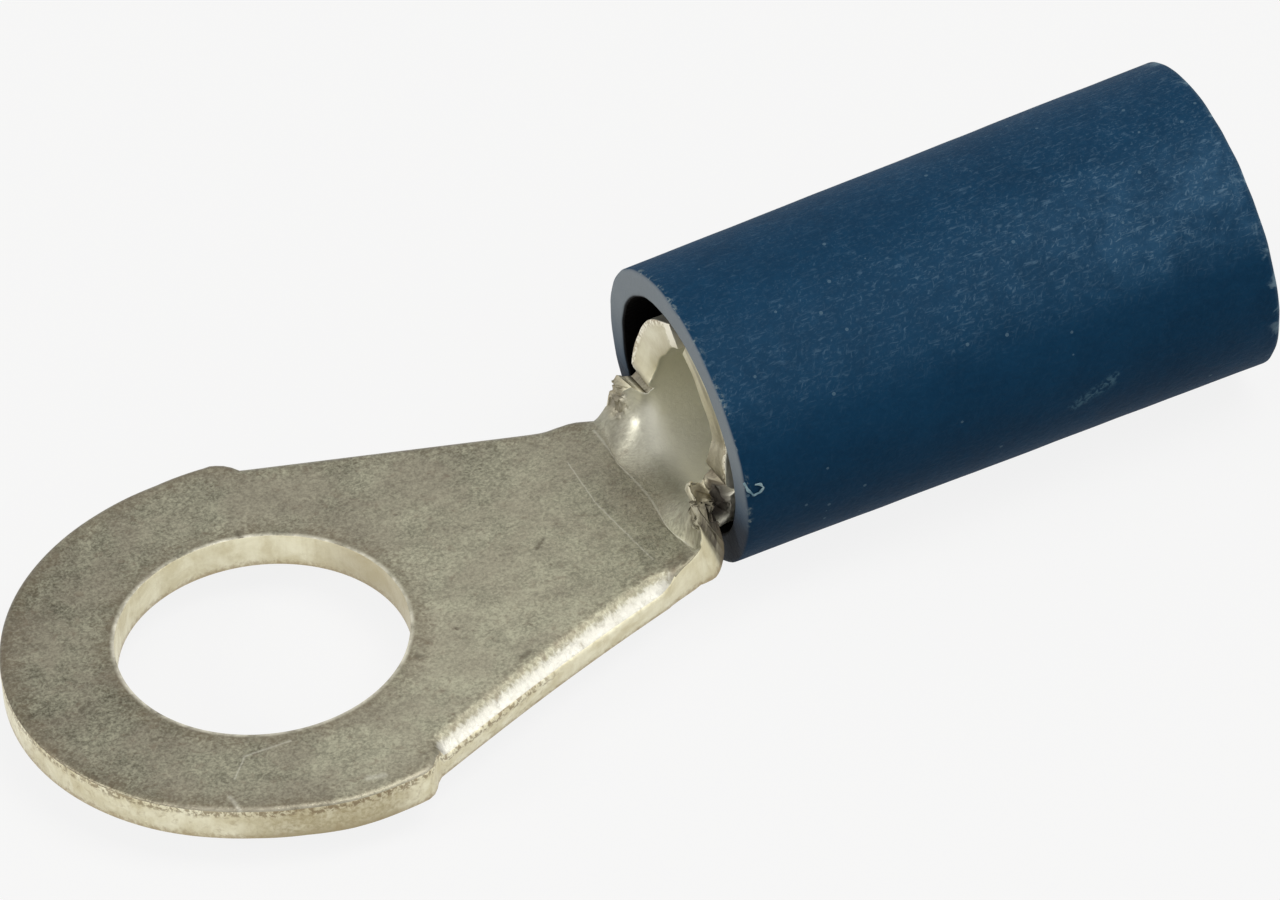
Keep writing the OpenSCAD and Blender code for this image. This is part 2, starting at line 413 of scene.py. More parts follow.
def curl(x, v):
    """Curvature of the row at x, at the arc length v from the middle line."""
    held = np.clip(v, BEND_V[0], BEND_V[-1])
    start, end = np.polyval(BEND_START, held), np.polyval(BEND_END, held)
    share = sum(1 - (1 - np.clip((x + d - start) / (end - start), 0, 1)) ** 3 for d in BLUR) / len(BLUR)
    share = share + (1 - share) * smooth(1.9, 2.5, np.abs(v)) * smooth(8.15, 8.33, x)
    return np.maximum(share / MID_R, 1e-6)


def mid_surface(x, v):
    """Middle of the sheet's wall: an arc up to FLAT_V, and straight on from there."""
    bend = curl(x, v)
    curved = np.clip(v, -FLAT_V, FLAT_V)
    y = np.sin(bend * curved) / bend + (v - curved) * np.cos(bend * curved)
    z = SHEET_T / 2 + (1 - np.cos(bend * curved)) / bend + (v - curved) * np.sin(bend * curved)
    return np.stack([x, y, z], axis=1)


def outward(x, v):
    """Direction of the sheet's thickness, nearly in the row's own plane out at the wings."""
    along = mid_surface(x + 0.1, v) - mid_surface(x - 0.1, v)
    across = mid_surface(x, v + 1e-3) - mid_surface(x, v - 1e-3)
    out = unit(np.cross(along, across))
    angle = curl(x, v) * np.clip(v, -FLAT_V, FLAT_V)
    section = np.stack([np.where(v < 0, 0.3 * out[:, 0], 0), -np.sin(angle), np.cos(angle)], axis=1)
    return unit(out + (section - out) * smooth(0.8, 1.8, np.abs(v))[:, None])


trough_x = np.linspace(TONGUE_END, 9.0, 4)
print("bend radius on the middle line in mm:", [round(float(1 / c), 2) for c in curl(trough_x, 0 * trough_x)])


# %% [markdown]
# The barrel's mouth is not square. The fronts of the wings slant back, the inner side of the sheet more
# than the outer side, a slit parts each wing from the neck, and the neck's corners stand up as two small
# ears with a rolled lip. These are read from short tables over the turn or over x. Boolean cuts would give
# sharp fronts, but they leave no even rows of faces.

# %% Fronts of the wings, slits and ears
FRONT_TURN = np.radians([80, 88, 96, 105, 113, 130, 150, 180])
FAR_FRONT = ([0.0, 0.02, 0.06, 0.11, 0.16, 0.19, 0.2, 0.2], [-0.05, 0.0, 0.12, 0.2, 0.22, 0.22, 0.23, 0.23])
NEAR_FRONT = ([0.0, 0.0, 0.02, 0.09, 0.19, 0.22, 0.22, 0.22], [0.0, 0.0, 0.02, 0.09, 0.19, 0.22, 0.22, 0.22])
NEAR_EAR = ([7.65, 7.80, 8.00, 8.08, 8.13, 8.18, 8.24, WING_X],
            [2.13, 2.17, 2.22, 2.20, 2.10, 2.06, 2.12, TROUGH_HALF])
FAR_EAR = ([7.65, 7.80, 7.95, 8.08, 8.15, 8.20, WING_X],
           [EDGE_FAR, 2.25, 2.27, 2.38, 2.44, 2.36, TROUGH_HALF])
EAR_RISE = ([6.3, 7.0, 7.5, 7.7, 7.9, 8.1, 8.3], [0, 0.02, 0.03, 0.06, 0.14, 0.16, 0])
EAR_LIP = ([6.3, 7.0, 7.45, 7.65, 7.8, 8.0, 8.12, 8.24], [0, 0.04, 0.06, 0.14, 0.24, 0.26, 0.25, 0])
SLIT_W, LIP_W, FRONT_FADE = 0.05, 0.12, 1.6


def across_sheet(x, y):
    """Arc length from the middle line, and how many columns a point lies out on a wing."""
    beyond = np.maximum(np.maximum(EDGE_NEAR - y, y - EDGE_FAR), 0) / COLUMN
    inside = np.clip(y, EDGE_NEAR, EDGE_FAR)
    v = inside * np.where(inside < 0, np.interp(x, *NEAR_EAR) / -EDGE_NEAR, np.interp(x, *FAR_EAR) / EDGE_FAR)
    reach = np.where(v < 0, NEAR_TIP, FAR_TIP) - TROUGH_HALF
    return v + np.sign(y) * beyond * reach / WING_COLUMNS, beyond


def wing_front(x, v, inner, on_wing):
    """Move the fronts of the wings back, and cut the slit at each wing's root."""
    turn = np.abs(v) / MID_R
    far_out, far_in = (np.interp(turn, FRONT_TURN, row) for row in FAR_FRONT)
    near_out, near_in = (np.interp(turn, FRONT_TURN, row) for row in NEAR_FRONT)
    slant = np.where(v > 0, far_out + (far_in - far_out) * inner, near_out + (near_in - near_out) * inner)
    slit = np.where(v < 0, math.radians(85) + math.radians(3) * inner, math.radians(84))
    notch = np.where(v < 0, 0.28, 0.16) * np.exp(-((turn - slit) / SLIT_W) ** 2)
    fade = np.clip(1 - (x - WING_X) / FRONT_FADE, 0, 1)
    return x + (on_wing & (x > WING_X - 1e-3)) * (slant * fade + notch * fade ** 6)


def sheet_height(x, y, v, h, on_strip):
    """Raise the lip at the neck's edge, thin the wall at the seam and pull the torn corner in."""
    edge = np.where(x < TONGUE_END, near_edge(x), EDGE_NEAR)
    lip = np.interp(x, *EAR_LIP) * np.exp(-((y - edge) / LIP_W) ** 2)
    thin = 0.2 * smooth(math.radians(140), math.radians(165), np.abs(v) / MID_R)
    torn = 0.42 * smooth(8.02, 8.09, x) * (1 - smooth(8.34, 8.40, x))
    torn = torn * np.exp(-((y - EDGE_NEAR) / 0.4) ** 2) * on_strip
    return h + (lip - thin) * (h > 0) + torn * (h < 0)


print("ears rise by", max(EAR_RISE[1]), "mm, their lip by", max(EAR_LIP[1]), "mm")


# %% [markdown]
# With the law and the tables at hand, every point of the flat strip is carried to its place on the rolled
# one: first along the middle of the wall, then out by its height in the sheet. Each point is moved only
# once, so the sheet keeps its thickness through the bend.

# %% Roll the strip up
def roll_up(points):
    x, y, h = points[:, 0], points[:, 1], points[:, 2] - SHEET_T / 2
    v, beyond = across_sheet(x, y)
    x = wing_front(x, v, h / SHEET_T + 0.5, beyond > 0)
    h = sheet_height(x, y, v, h, beyond == 0)
    rise = np.interp(x, *EAR_RISE) * smooth(1.2, 2.2, -v)
    return mid_surface(x, v) + outward(x, v) * h[:, None] + rise[:, None] * np.array([0, 0, 1])


strip = points[:, 0] > 7.0
points[strip] = roll_up(points[strip])
place(terminal, points)
print("rolled up:", int(strip.sum()), "points, barrel top at", round(float(points[:, 2].max()), 2), "mm")


# %% [markdown]
# At the two inner corners the sheet is stretched past what it can take, and it tears and crumples. The
# faces there are subdivided and pushed about by noise, coarse for the folds and fine for the broken grain.
# Sculpting would give the same look but could not be repeated by a script.

# %% Torn corners where the sheet was forced round
TORN = [{"centre": (8.05, -1.66, 1.45), "reach": 0.60, "cuts": 4, "height": 0.22, "scale": 3.7, "seed": 3.0},
        {"centre": (8.06, 1.95, 1.30), "reach": 0.5, "cuts": 3, "height": 0.11, "scale": 4.5, "seed": 11.0}]


def rough(points, scale, seed):
    return np.array([noise.noise(Vector(p) * scale + Vector((seed, 2 * seed, 3 * seed))) for p in points])


def gap_to(points, centre):
    return np.linalg.norm(points - np.array(centre), axis=1)


def subdivide_near(piece, spot):
    inside = gap_to(coordinates(piece), spot["centre"]) < spot["reach"]
    deselect_mesh(piece)
    for polygon in piece.data.polygons:
        polygon.select = bool(inside[list(polygon.vertices)].all())
    edit(piece, "FACE")
    bpy.ops.mesh.subdivide(number_cuts=spot["cuts"], quadcorner="INNERVERT", smoothness=0)
    bpy.ops.object.mode_set(mode="OBJECT")


def crumple(piece, spot):
    points = coordinates(piece)
    gap, reach, scale, seed = gap_to(points, spot["centre"]), spot["reach"], spot["scale"], spot["seed"]
    near = np.where(gap < reach)[0]
    fall = (1 - smooth(0.4 * reach, reach, gap[near]))[:, None]
    coarse = np.stack([rough(points[near], scale, seed + k) for k in (1.3, 4.7, 9.1)], axis=1)
    fine = np.stack([rough(points[near], 3.1 * scale, seed + k) for k in (2.2, 5.9, 7.4)], axis=1)
    folds = np.abs(rough(points[near], 1.4 * scale, seed + 20))[:, None]
    push = coarse * 1.1 + 0.45 * fine + (folds - 0.2) * np.array([-0.3, 0.4, 0.9])
    points[near] += spot["height"] * fall * push
    place(piece, points)


for spot in TORN:
    subdivide_near(terminal, spot)
    crumple(terminal, spot)
points = coordinates(terminal)
torn_share = sum(1 - smooth(0.55 * spot["reach"], 1.05 * spot["reach"], gap_to(points, spot["centre"]))
                 for spot in TORN)
remember(terminal, "torn", torn_share)
print("torn:", int((torn_share > 0).sum()), "points at", len(TORN), "corners")


# %% [markdown]
# The rolled sheet is smooth to the eye, and only its cut edges are sharp. Shading by angle shows just that
# without any change to the mesh. The finished piece rides on the one body of the part and stands in for
# the plain solid.

# %% Finished terminal
deselect_mesh(terminal)
activate(terminal)
bpy.ops.object.shade_smooth_by_angle(angle=math.radians(35))
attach(terminal, "root")
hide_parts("terminal")
print("terminal:", len(terminal.data.polygons), "faces")


# %% [markdown]
# The sleeve is a short piece of extruded vinyl tube with a cleanly cut front, a slightly flared body and a
# wider bore at the wire's end. Half of its lengthwise section, taken once round the wall, is all that has
# to be known about it, and the section's points lie closer together where an edge is rounded.

# %% Section of the sleeve's wall
SLEEVE_X, SLEEVE_Z, SLEEVE_L = 8.38, 2.1457, 10.65
SLEEVE_TILT = math.radians(0.8)
SLEEVE_BORE, SLEEVE_ENTRY, SLEEVE_OUT, SLEEVE_OUT_END = 2.26, 2.42, 2.81, 2.91
EDGE = 0.05


def outer_r(x):
    return SLEEVE_OUT + (SLEEVE_OUT_END - SLEEVE_OUT) * x / SLEEVE_L


def sleeve_profile():
    body = np.linspace(0.2, SLEEVE_L - 0.2, 70)
    outer = [(x, outer_r(x)) for x in (EDGE, *body, SLEEVE_L - EDGE)]
    rear = [(SLEEVE_L - 0.012, outer_r(SLEEVE_L) - 0.03), (SLEEVE_L, outer_r(SLEEVE_L) - 0.08),
            (SLEEVE_L, (SLEEVE_ENTRY + SLEEVE_OUT_END) / 2), (SLEEVE_L, SLEEVE_ENTRY + 0.08),
            (SLEEVE_L - EDGE, SLEEVE_ENTRY)]
    inner = ([(x, SLEEVE_ENTRY) for x in np.linspace(SLEEVE_L - 0.3, 6.35, 14)]
             + [(x, SLEEVE_BORE) for x in np.linspace(6.05, 0.2, 16)])
    front = [(0.04, SLEEVE_BORE + 0.005), (0.008, SLEEVE_BORE + 0.04), (0, SLEEVE_BORE + 0.1),
             (0, SLEEVE_BORE + 0.2), (0, SLEEVE_BORE + 0.3), (0, SLEEVE_OUT - 0.12),
             (0.006, SLEEVE_OUT - 0.05), (0.02, SLEEVE_OUT - 0.015)]
    return outer + rear + inner + front


profile = sleeve_profile()
print("section of the sleeve:", len(profile), "points")


# %% [markdown]
# A circle is drawn out along that closed section, ring by ring, and the last ring is bridged to the first.
# Spin would do it as well, but it works round the tube, and its seam would run along the whole length. Here
# the bridge closes a short span on the front edge, where it does not show.

# %% Insulating sleeve
SEGMENTS = 192
start_x, start_r = profile[0]
deselect()
bpy.ops.mesh.primitive_circle_add(vertices=SEGMENTS, radius=start_r * MM, location=(start_x * MM, 0, 0),
                                  rotation=(0, math.pi / 2, 0))
sleeve = bpy.context.object
sleeve.name = sleeve.data.name = "soft_sleeve"
bpy.ops.object.transform_apply(location=True, rotation=True, scale=True)
bpy.ops.object.mode_set(mode="EDIT")
bpy.ops.mesh.select_all(action="SELECT")
for (x0, r0), (x1, r1) in zip(profile, profile[1:]):
    bpy.ops.mesh.extrude_edges_move(TRANSFORM_OT_translate={"value": ((x1 - x0) * MM, 0, 0)})
    bpy.ops.transform.resize(value=(1, r1 / r0, r1 / r0), center_override=(0, 0, 0))
bpy.ops.object.mode_set(mode="OBJECT")
points = coordinates(sleeve)
radius = np.hypot(points[:, 1], points[:, 2])
first_ring = (np.abs(points[:, 0] - start_x) < 1e-4) & (radius > SLEEVE_BORE + 0.4)
last_ring = (np.abs(points[:, 0] - profile[-1][0]) < 1e-4) & (radius > SLEEVE_BORE + 0.2)
select_edges(sleeve, [first_ring, last_ring])
edit(sleeve)
bpy.ops.mesh.bridge_edge_loops()
bpy.ops.mesh.select_all(action="SELECT")
bpy.ops.mesh.remove_doubles(threshold=1e-7)
bpy.ops.mesh.normals_make_consistent(inside=False)
bpy.ops.object.mode_set(mode="OBJECT")
print("sleeve:", len(sleeve.data.polygons), "faces")


# %% [markdown]
# Soft vinyl is never a perfect tube: it is cut with a blade, pressed on by hand, and sits a little tilted
# on the barrel. The points are moved by a few hundredths of a millimetre of slow noise, more at the two cut
# ends, and then turned and carried to their seat. A subdivision with a displace modifier would need a
# texture and could not be limited to the ends as simply.

# %% Soft unevenness of the sleeve
def seat(points):
    cos, sin = math.cos(SLEEVE_TILT), math.sin(SLEEVE_TILT)
    x, y, z = points.T
    return np.stack([SLEEVE_X + cos * x - sin * z, y, SLEEVE_Z + sin * x + cos * z], axis=1)


points = coordinates(sleeve)
remember(sleeve, "along_sleeve", points, kind="FLOAT_VECTOR")
radius = np.hypot(points[:, 1], points[:, 2])
at_front = 1 - smooth(0.0, 0.25, points[:, 0])
at_rear = smooth(SLEEVE_L - 0.25, SLEEVE_L, points[:, 0])
wave = 0.010 * rough(points, 0.45, 5.0) + 0.004 * rough(points, 1.7, 8.0)
wave += at_front * 0.010 * rough(points, 2.6, 15.0)
ragged = at_rear * 0.015 * rough(points, 2.2, 31.0)
points[:, 1:] *= (1 + wave / radius)[:, None]
points[:, 0] += ragged + at_front * 0.012 * rough(points, 1.8, 44.0)
place(sleeve, seat(points))
activate(sleeve)
bpy.ops.object.shade_smooth_by_angle(angle=math.radians(40))
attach(sleeve, "root")
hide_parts("insulating_sleeve")
print("sleeve uneven by", round(float(np.abs(wave).max()), 3), "mm at most")


# %% [markdown]
# The blade that cut the sleeve has left a thin curl of vinyl hanging from its rim. A narrow grid is laid
# along a short path, given a thin wall and smoothed once. A curve object with a bevel would be round like a
# hair, and the real shaving is a flat ribbon.

# %% Shaving left on the sleeve's rim
CURL = np.array([(8.37, -2.80, 2.70), (8.442, -2.815, 2.503), (8.526, -2.825, 2.345), (8.658, -2.83, 2.364),
                 (8.732, -2.83, 2.451), (8.677, -2.825, 2.555), (8.581, -2.82, 2.574)])
STEPS = 48
HALF_WIDTH, WANDER, RIBBON_WALL = 0.024, 0.020, 0.015


def on_path(along):
    return np.stack([np.interp(along, range(len(CURL)), CURL[:, k]) for k in range(3)], axis=1)


deselect()
bpy.ops.mesh.primitive_grid_add(x_subdivisions=STEPS, y_subdivisions=3, size=1.0)
shaving = bpy.context.object
shaving.name = shaving.data.name = "sleeve_shaving"
cells = np.empty(len(shaving.data.vertices) * 3)
shaving.data.vertices.foreach_get("co", cells)
cells = cells.reshape(-1, 3)
along = (cells[:, 0] + 0.5) * (len(CURL) - 1)
run = unit(on_path(along + 0.2) - on_path(along - 0.2))
side = np.cross(run, np.array([0.0, -1.0, 0.0]))
half_width = HALF_WIDTH + WANDER * np.array([noise.noise(Vector((a * 1.3, 0, 4.0))) for a in along])
points = on_path(along) + side * (cells[:, 1] * 2 * half_width)[:, None]
points += 0.012 * np.stack([rough(points, 9.0, k) for k in (1.0, 2.0, 3.0)], axis=1)
place(shaving, points)
wall = shaving.modifiers.new("wall", "SOLIDIFY")
wall.thickness = RIBBON_WALL * MM
finer = shaving.modifiers.new("finer", "SUBSURF")
finer.levels = finer.render_levels = 1
apply_modifiers(shaving)
bpy.ops.object.shade_smooth()
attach(shaving, "root")
print("shaving:", len(shaving.data.polygons), "faces")


# %% [markdown]
# Both finishes are built from shader nodes. Written out link by link they are hard to read. So a field, a
# value or colour that changes over the surface, is given plus, minus and times signs here, and each sign
# adds one Math node. A soft mask and a stack of coats of colour are short calls as well.

# %% Fields: arithmetic with shader nodes
class Field:
    """The output of a shader node, to be used like a number."""

    def __init__(self, socket):
        self.socket, self.tree = socket, socket.id_data

    def __add__(self, other):
        return calc("ADD", self, other)

    def __sub__(self, other):
        return calc("SUBTRACT", self, other)

    def __rsub__(self, other):
        return calc("SUBTRACT", other, self)

    def __mul__(self, other):
        return calc("MULTIPLY", self, other)

    def __abs__(self):
        return calc("ABSOLUTE", self)

    __radd__ = __add__


def feed(socket, value):
    if isinstance(value, Field):
        value.tree.links.new(value.socket, socket)
    elif socket.type == "RGBA":
        socket.default_value = (*value[:3], 1.0)
    else:
        socket.default_value = value


def feed_all(node, inputs):
    for key, value in inputs.items():
        feed(node.inputs[key], value)


def add(tree, kind, inputs, **settings):
    made = tree.nodes.new(kind)
    for key, value in settings.items():
        setattr(made, key, value)
    feed_all(made, inputs)
    return made


def field(tree, kind, inputs, out=0, **settings):
    return Field(add(tree, kind, inputs, **settings).outputs[out])


def tree_of(values):
    return next(value.tree for value in values if isinstance(value, Field))


def calc(operation, *values, clamp=False):
    return field(tree_of(values), "ShaderNodeMath", dict(enumerate(values)), operation=operation,
                 use_clamp=clamp)


def vector(operation, *values, out="Vector"):
    return field(tree_of(values), "ShaderNodeVectorMath", dict(enumerate(values)), out, operation=operation)


print("field tools:", [tool.__name__ for tool in (feed, add, field, calc, vector)])


# %% [markdown]
# Two more calls say what most of a finish is made of. A ramp turns a value into a soft mask from 0 to 1,
# and runs the other way when its limits are swapped. A coat lays one colour over another where its mask
# says so, as paint is laid on in layers. A new material starts with one Principled shader, which stays its
# only one.

# %% Masks, coats and materials
def ramp(value, low, high):
    return field(value.tree, "ShaderNodeMapRange", {"Value": value, "From Min": low, "From Max": high},
                 interpolation_type="SMOOTHSTEP")


def blend(mask, first, second):
    """Mix two colours; the mix node keeps its colour sockets behind those for values and vectors."""
    return field(mask.tree, "ShaderNodeMix", {0: mask, 6: first, 7: second}, 2, data_type="RGBA")


def coat(colour, *layers):
    for mask, paint in layers:
        colour = blend(mask, colour, paint)
    return colour


def new_material(name):
    material = bpy.data.materials.new(name)
    material.use_nodes = True
    return material, material.node_tree, material.node_tree.nodes["Principled BSDF"]


def stored(tree, name, out="Fac"):
    return field(tree, "ShaderNodeAttribute", {}, out, attribute_name=name)


def axes(place_on):
    parts = add(place_on.tree, "ShaderNodeSeparateXYZ", {"Vector": place_on})
    return [Field(parts.outputs[letter]) for letter in "XYZ"]


def dress(piece, material):
    piece.data.materials.clear()
    piece.data.materials.append(material)
    print(material.name + ":", len(material.node_tree.nodes), "nodes on", piece.name)


# %% [markdown]
# Four effects are used by more than one finish, so each is a node group with named inputs. Cloudy patches
# make stains and mottling, and small round specks make dirt. A group puts out only a mask, and each finish
# decides what the mask does.

# %% Patches and specks
def new_group(name, **inputs):
    tree = bpy.data.node_groups.new(name, "ShaderNodeTree")
    tree.interface.new_socket(name="Vector", in_out="INPUT", socket_type="NodeSocketVector")
    for label, default in inputs.items():
        kind = "NodeSocketVector" if isinstance(default, tuple) else "NodeSocketFloat"
        tree.interface.new_socket(name=label, in_out="INPUT", socket_type=kind).default_value = default
    tree.interface.new_socket(name="Value", in_out="OUTPUT", socket_type="NodeSocketFloat")
    given = {socket.name: Field(socket) for socket in tree.nodes.new("NodeGroupInput").outputs}
    return tree, given, tree.nodes.new("NodeGroupOutput").inputs["Value"]


def use(group, place_on, **inputs):
    return field(place_on.tree, "ShaderNodeGroup", {"Vector": place_on, **inputs}, node_tree=group)


patches, given, result = new_group("patches", Scale=1.0, Low=0.35, High=0.65)
clouds = field(patches, "ShaderNodeTexNoise", {"Vector": given["Vector"], "Scale": given["Scale"],
                                               "Detail": 5.0, "Roughness": 0.62, "Distortion": 0.4})
feed(result, ramp(clouds, given["Low"], given["High"]))

specks, given, result = new_group("specks", Scale=3.0, Size=0.1, Share=0.5)
cells = add(specks, "ShaderNodeTexVoronoi", {"Vector": given["Vector"], "Scale": given["Scale"]})
spot = calc("LESS_THAN", Field(cells.outputs["Distance"]), given["Size"])
chance = field(specks, "ShaderNodeSeparateColor", {"Color": Field(cells.outputs["Color"])})
feed(result, spot * calc("LESS_THAN", chance, given["Share"]))
print("groups:", patches.name, len(patches.nodes), "nodes,", specks.name, len(specks.nodes), "nodes")


# %% [markdown]
# Fine streaks, for scratches and scuffs, are noise that is turned and then stretched. A mark is one single
# scratch or spot between two points, soft at its border. It is placed by its two ends, so that it can be
# put where a real part is scratched, which noise alone never does.

# %% Streaks and single marks
streaks, given, result = new_group("streaks", Turn=(0.0, 0.0, 0.0), Stretch=(1.0, 1.0, 1.0), Low=0.6,
                                   High=0.7, Bend=0.0)
turned = field(streaks, "ShaderNodeMapping", {"Vector": given["Vector"], "Rotation": given["Turn"]})
longer = vector("MULTIPLY", turned, given["Stretch"])
lines = field(streaks, "ShaderNodeTexNoise", {"Vector": longer, "Scale": 1.0, "Detail": 3.0, "Roughness": 0.6,
                                              "Distortion": given["Bend"]})
feed(result, ramp(lines, given["Low"], given["High"]))

mark, given, result = new_group("mark", Start=(0.0, 0.0, 0.0), End=(1.0, 0.0, 0.0), Width=0.1)
here = vector("SUBTRACT", given["Vector"], given["Start"])
line = vector("SUBTRACT", given["End"], given["Start"])
share = calc("DIVIDE", vector("DOT_PRODUCT", here, line, out="Value"),
             vector("DOT_PRODUCT", line, line, out="Value"), clamp=True)
nearest = field(mark, "ShaderNodeVectorMath", {0: line, "Scale": share}, operation="SCALE")
feed(result, ramp(vector("LENGTH", vector("SUBTRACT", here, nearest), out="Value"), given["Width"], 0.0))


def marks_sum(place_on, marks, wander):
    """All marks of a list as one mask, each bent a little by the same noise."""
    wobble = field(place_on.tree, "ShaderNodeTexNoise", {"Vector": place_on, "Scale": 7.0, "Detail": 4.0,
                                                         "Roughness": 0.65}, "Color")
    centred = vector("ADD", wobble, (-0.5, -0.5, -0.5))
    bent = vector("MULTIPLY_ADD", centred, (wander, wander, 0.0), place_on)
    total, *others = [use(mark, bent, Start=start, End=end, Width=width) for start, end, width in marks]
    for one in others:
        total = calc("MAXIMUM", total, one)
    return total


print("groups:", streaks.name, len(streaks.nodes), "nodes,", mark.name, len(mark.nodes), "nodes")


# %% [markdown]
# Tin plating dulls to a warm grey. It is mottled and stained brown near the rims, where the brown on the far
# rolled edge is also painted shade. A painted highlight lies along the near rolled edge and the hole's rim,
# and the inside of the barrel is painted light. All masks are read at the flat place of the sheet. Separate
# materials per face would leave hard borders between the looks, so the colours stay in one Principled
# shader and the masks say where each belongs.

# %% Tin finish: what it reads
PALE_MARKS = [((-2.316, -3.626), (-2.30, -4.25), 0.07), ((-1.631, -2.789), (-0.761, -2.834), 0.04),
              ((0.02, -4.43), (0.30, -4.50), 0.11), ((7.67, -1.75), (7.52, 1.95), 0.045),
              ((6.93, -1.75), (6.70, 0.15), 0.03), ((6.70, 0.15), (6.73, 1.4), 0.02),
              ((-1.631, -2.789), (-2.05, -3.25), 0.03)]
DARK_MARKS = [((3.93, -2.86), (3.80, -2.92), 0.13), ((2.18, -1.92), (2.20, -1.98), 0.12),
              ((3.07, -1.61), (3.08, -1.64), 0.06), ((5.25, -0.42), (5.45, -0.25), 0.09),
              ((-3.70, -0.22), (-3.47, -0.12), 0.07), ((-4.27, 0.16), (-4.18, 0.24), 0.04),
              ((0.76, 2.56), (0.78, 2.70), 0.10), ((-2.75, -1.55), (-2.73, -1.58), 0.05)]


def on_top(marks):
    return [((*start, SHEET_T), (*end, SHEET_T), width) for start, end, width in marks]


tin, tree, shader = new_material("dull_tin")
blank = stored(tree, "blank", "Vector")
cut_side, torn = stored(tree, "cut"), stored(tree, "torn")
rim_gap, roll_highlight = stored(tree, "rim_gap"), stored(tree, "roll_highlight")
x, y, z = axes(blank)
aside, from_hole = abs(y), vector("LENGTH", blank, out="Value")
broad, medium, fine, grain = (use(patches, blank, Scale=scale, Low=low, High=high) for scale, low, high in
                              ((0.55, 0.3, 0.7), (2.3, 0.3, 0.7), (11.0, 0.3, 0.72), (22.0, 0.36, 0.64)))
scratch = use(streaks, blank, Turn=(0.0, 0.0, 0.5), Stretch=(2.2, 30.0, 4.0), Low=0.68, High=0.8)
pale, dark = marks_sum(blank, on_top(PALE_MARKS), 0.05), marks_sum(blank, on_top(DARK_MARKS), 0.22)
elsewhere = vector("ADD", blank, (31.0, 17.0, 0.0))
print("marks placed by hand:", len(PALE_MARKS) + len(DARK_MARKS))


# %% [markdown]
# The flat faces come first. One tone, from cloudy patches of four sizes and a slow drift along the part,
# runs from dark to light grey. Over it lie warm stains, the smoother bend, the barrel's inside painted light,
# grit, brown tarnish at the rims that is also painted shade on the far rolled edge, a painted highlight on
# the rolled edge and along the hole's rim, and the single marks. One patch size alone would look printed.

# %% Tin finish: the flat faces
tone = broad * 0.20 + medium * 0.22 + fine * 0.29 + grain * 0.31 + (ramp(x, -7.0, 4.5) - 0.62) * 0.40
far_drift = calc("MAXIMUM", y, 0.0) * 0.04 * ramp(x, 0.0, 4.0)
near_drift = calc("MINIMUM", y, 0.0) * 0.045
tone = tone - (far_drift + near_drift + 0.05) + ramp(x, 7.3, 7.8) * 0.12
rolled = ramp(x + y * 0.12, 7.5, 8.5)
on_flat = 1.0 - rolled
worn = blend(tone, (0.33, 0.32, 0.26), (0.47, 0.46, 0.38))
warm = use(patches, elsewhere, Scale=0.8, Low=0.36, High=0.64)
stain = use(patches, elsewhere, Scale=5.0, Low=0.54, High=0.74) * on_flat
grit = use(specks, blank, Scale=7.0, Size=0.2, Share=0.3) * on_flat
barrel_wall = ramp(aside, 1.6, 3.2) * ramp(x, 8.0, 8.4)
# Brown tarnish at the rims, partly real and partly painted shade: on the far rolled edge it stands in for a
# darker reflection.
tarnish_and_shade = ramp(rim_gap + fine * 0.35, 0.75, 0.15) * (0.15 + medium * 0.5) * (1.0 - roll_highlight)
# Painted highlight: a pale colour laid along the rolled edge.
painted_roll_highlight = ramp(roll_highlight + (fine - 0.5) * 0.5, 0.2, 0.8) * roll_highlight * (1.0 - stain * 0.6)
# Painted highlight: a pale line along the hole's rim, and a fainter one along the near edge, where a rounded
# edge would catch the light.
rim_highlight_area = calc("MAXIMUM", ramp(from_hole, 3.4, 3.0), ramp(y, -2.6, -3.9) * 0.3)
painted_rim_highlight = ramp(rim_gap, 0.11, 0.02) * (0.1 + medium * 0.75) * rim_highlight_area
face = coat(blend(tone, (0.080, 0.074, 0.049), (0.425, 0.412, 0.300)),
            (warm * 0.38, (0.265, 0.228, 0.172)),
            (rolled * 0.9, worn),
            # Painted light: the inside of the barrel is lightened to near white so that it reads as lit by
            # light bouncing inside.
            (ramp(x, 8.1, 8.6), (0.93, 0.91, 0.77)),
            (barrel_wall * 0.55, (0.56, 0.55, 0.45)),
            (scratch * 0.25, (0.5, 0.48, 0.4)),
            (grit * 0.3, (0.10, 0.08, 0.055)),
            (stain * 0.45, (0.150, 0.110, 0.075)),
            (tarnish_and_shade, (0.115, 0.085, 0.05)),
            (painted_roll_highlight * 0.8, (0.66, 0.645, 0.585)),
            (pale * 0.27, (0.72, 0.70, 0.60)),
            (painted_rim_highlight, (0.78, 0.75, 0.62)),
            (dark * (0.4 + fine * 0.5), (0.09, 0.075, 0.05)))
print("tin so far:", len(tree.nodes), "nodes")


# %% [markdown]
# Where the sheet was cut, bare metal shows, pale and yellowish, with shear lines across the edge. Its lower
# edge is dirty, the ring's upper edge has brown flecks, and the near part of the ring's side is darker. The
# fronts of the wings have a groove drawn as a dark line of painted shade, a bright burr outside and a chip
# at the top, and painted shade darkens the slits and the cut side in the gap at the near torn corner. Each
# is a mask over a short stretch of the sheet.

# %% Tin finish: the cut sides
side_patch = use(patches, blank, Scale=1.6, Low=0.32, High=0.68)
sheared = use(streaks, blank, Stretch=(9.0, 9.0, 1.0), Low=0.42, High=0.7)
low_edge = ramp(z + fine * 0.12, 0.22, 0.05)
on_wing, on_near_half = ramp(x, 8.22, 8.34), ramp(y, 0.0, -1.0)
wing_foot = ramp(y, -3.9, -2.9) * ramp(x, 8.25, 8.35) * on_near_half
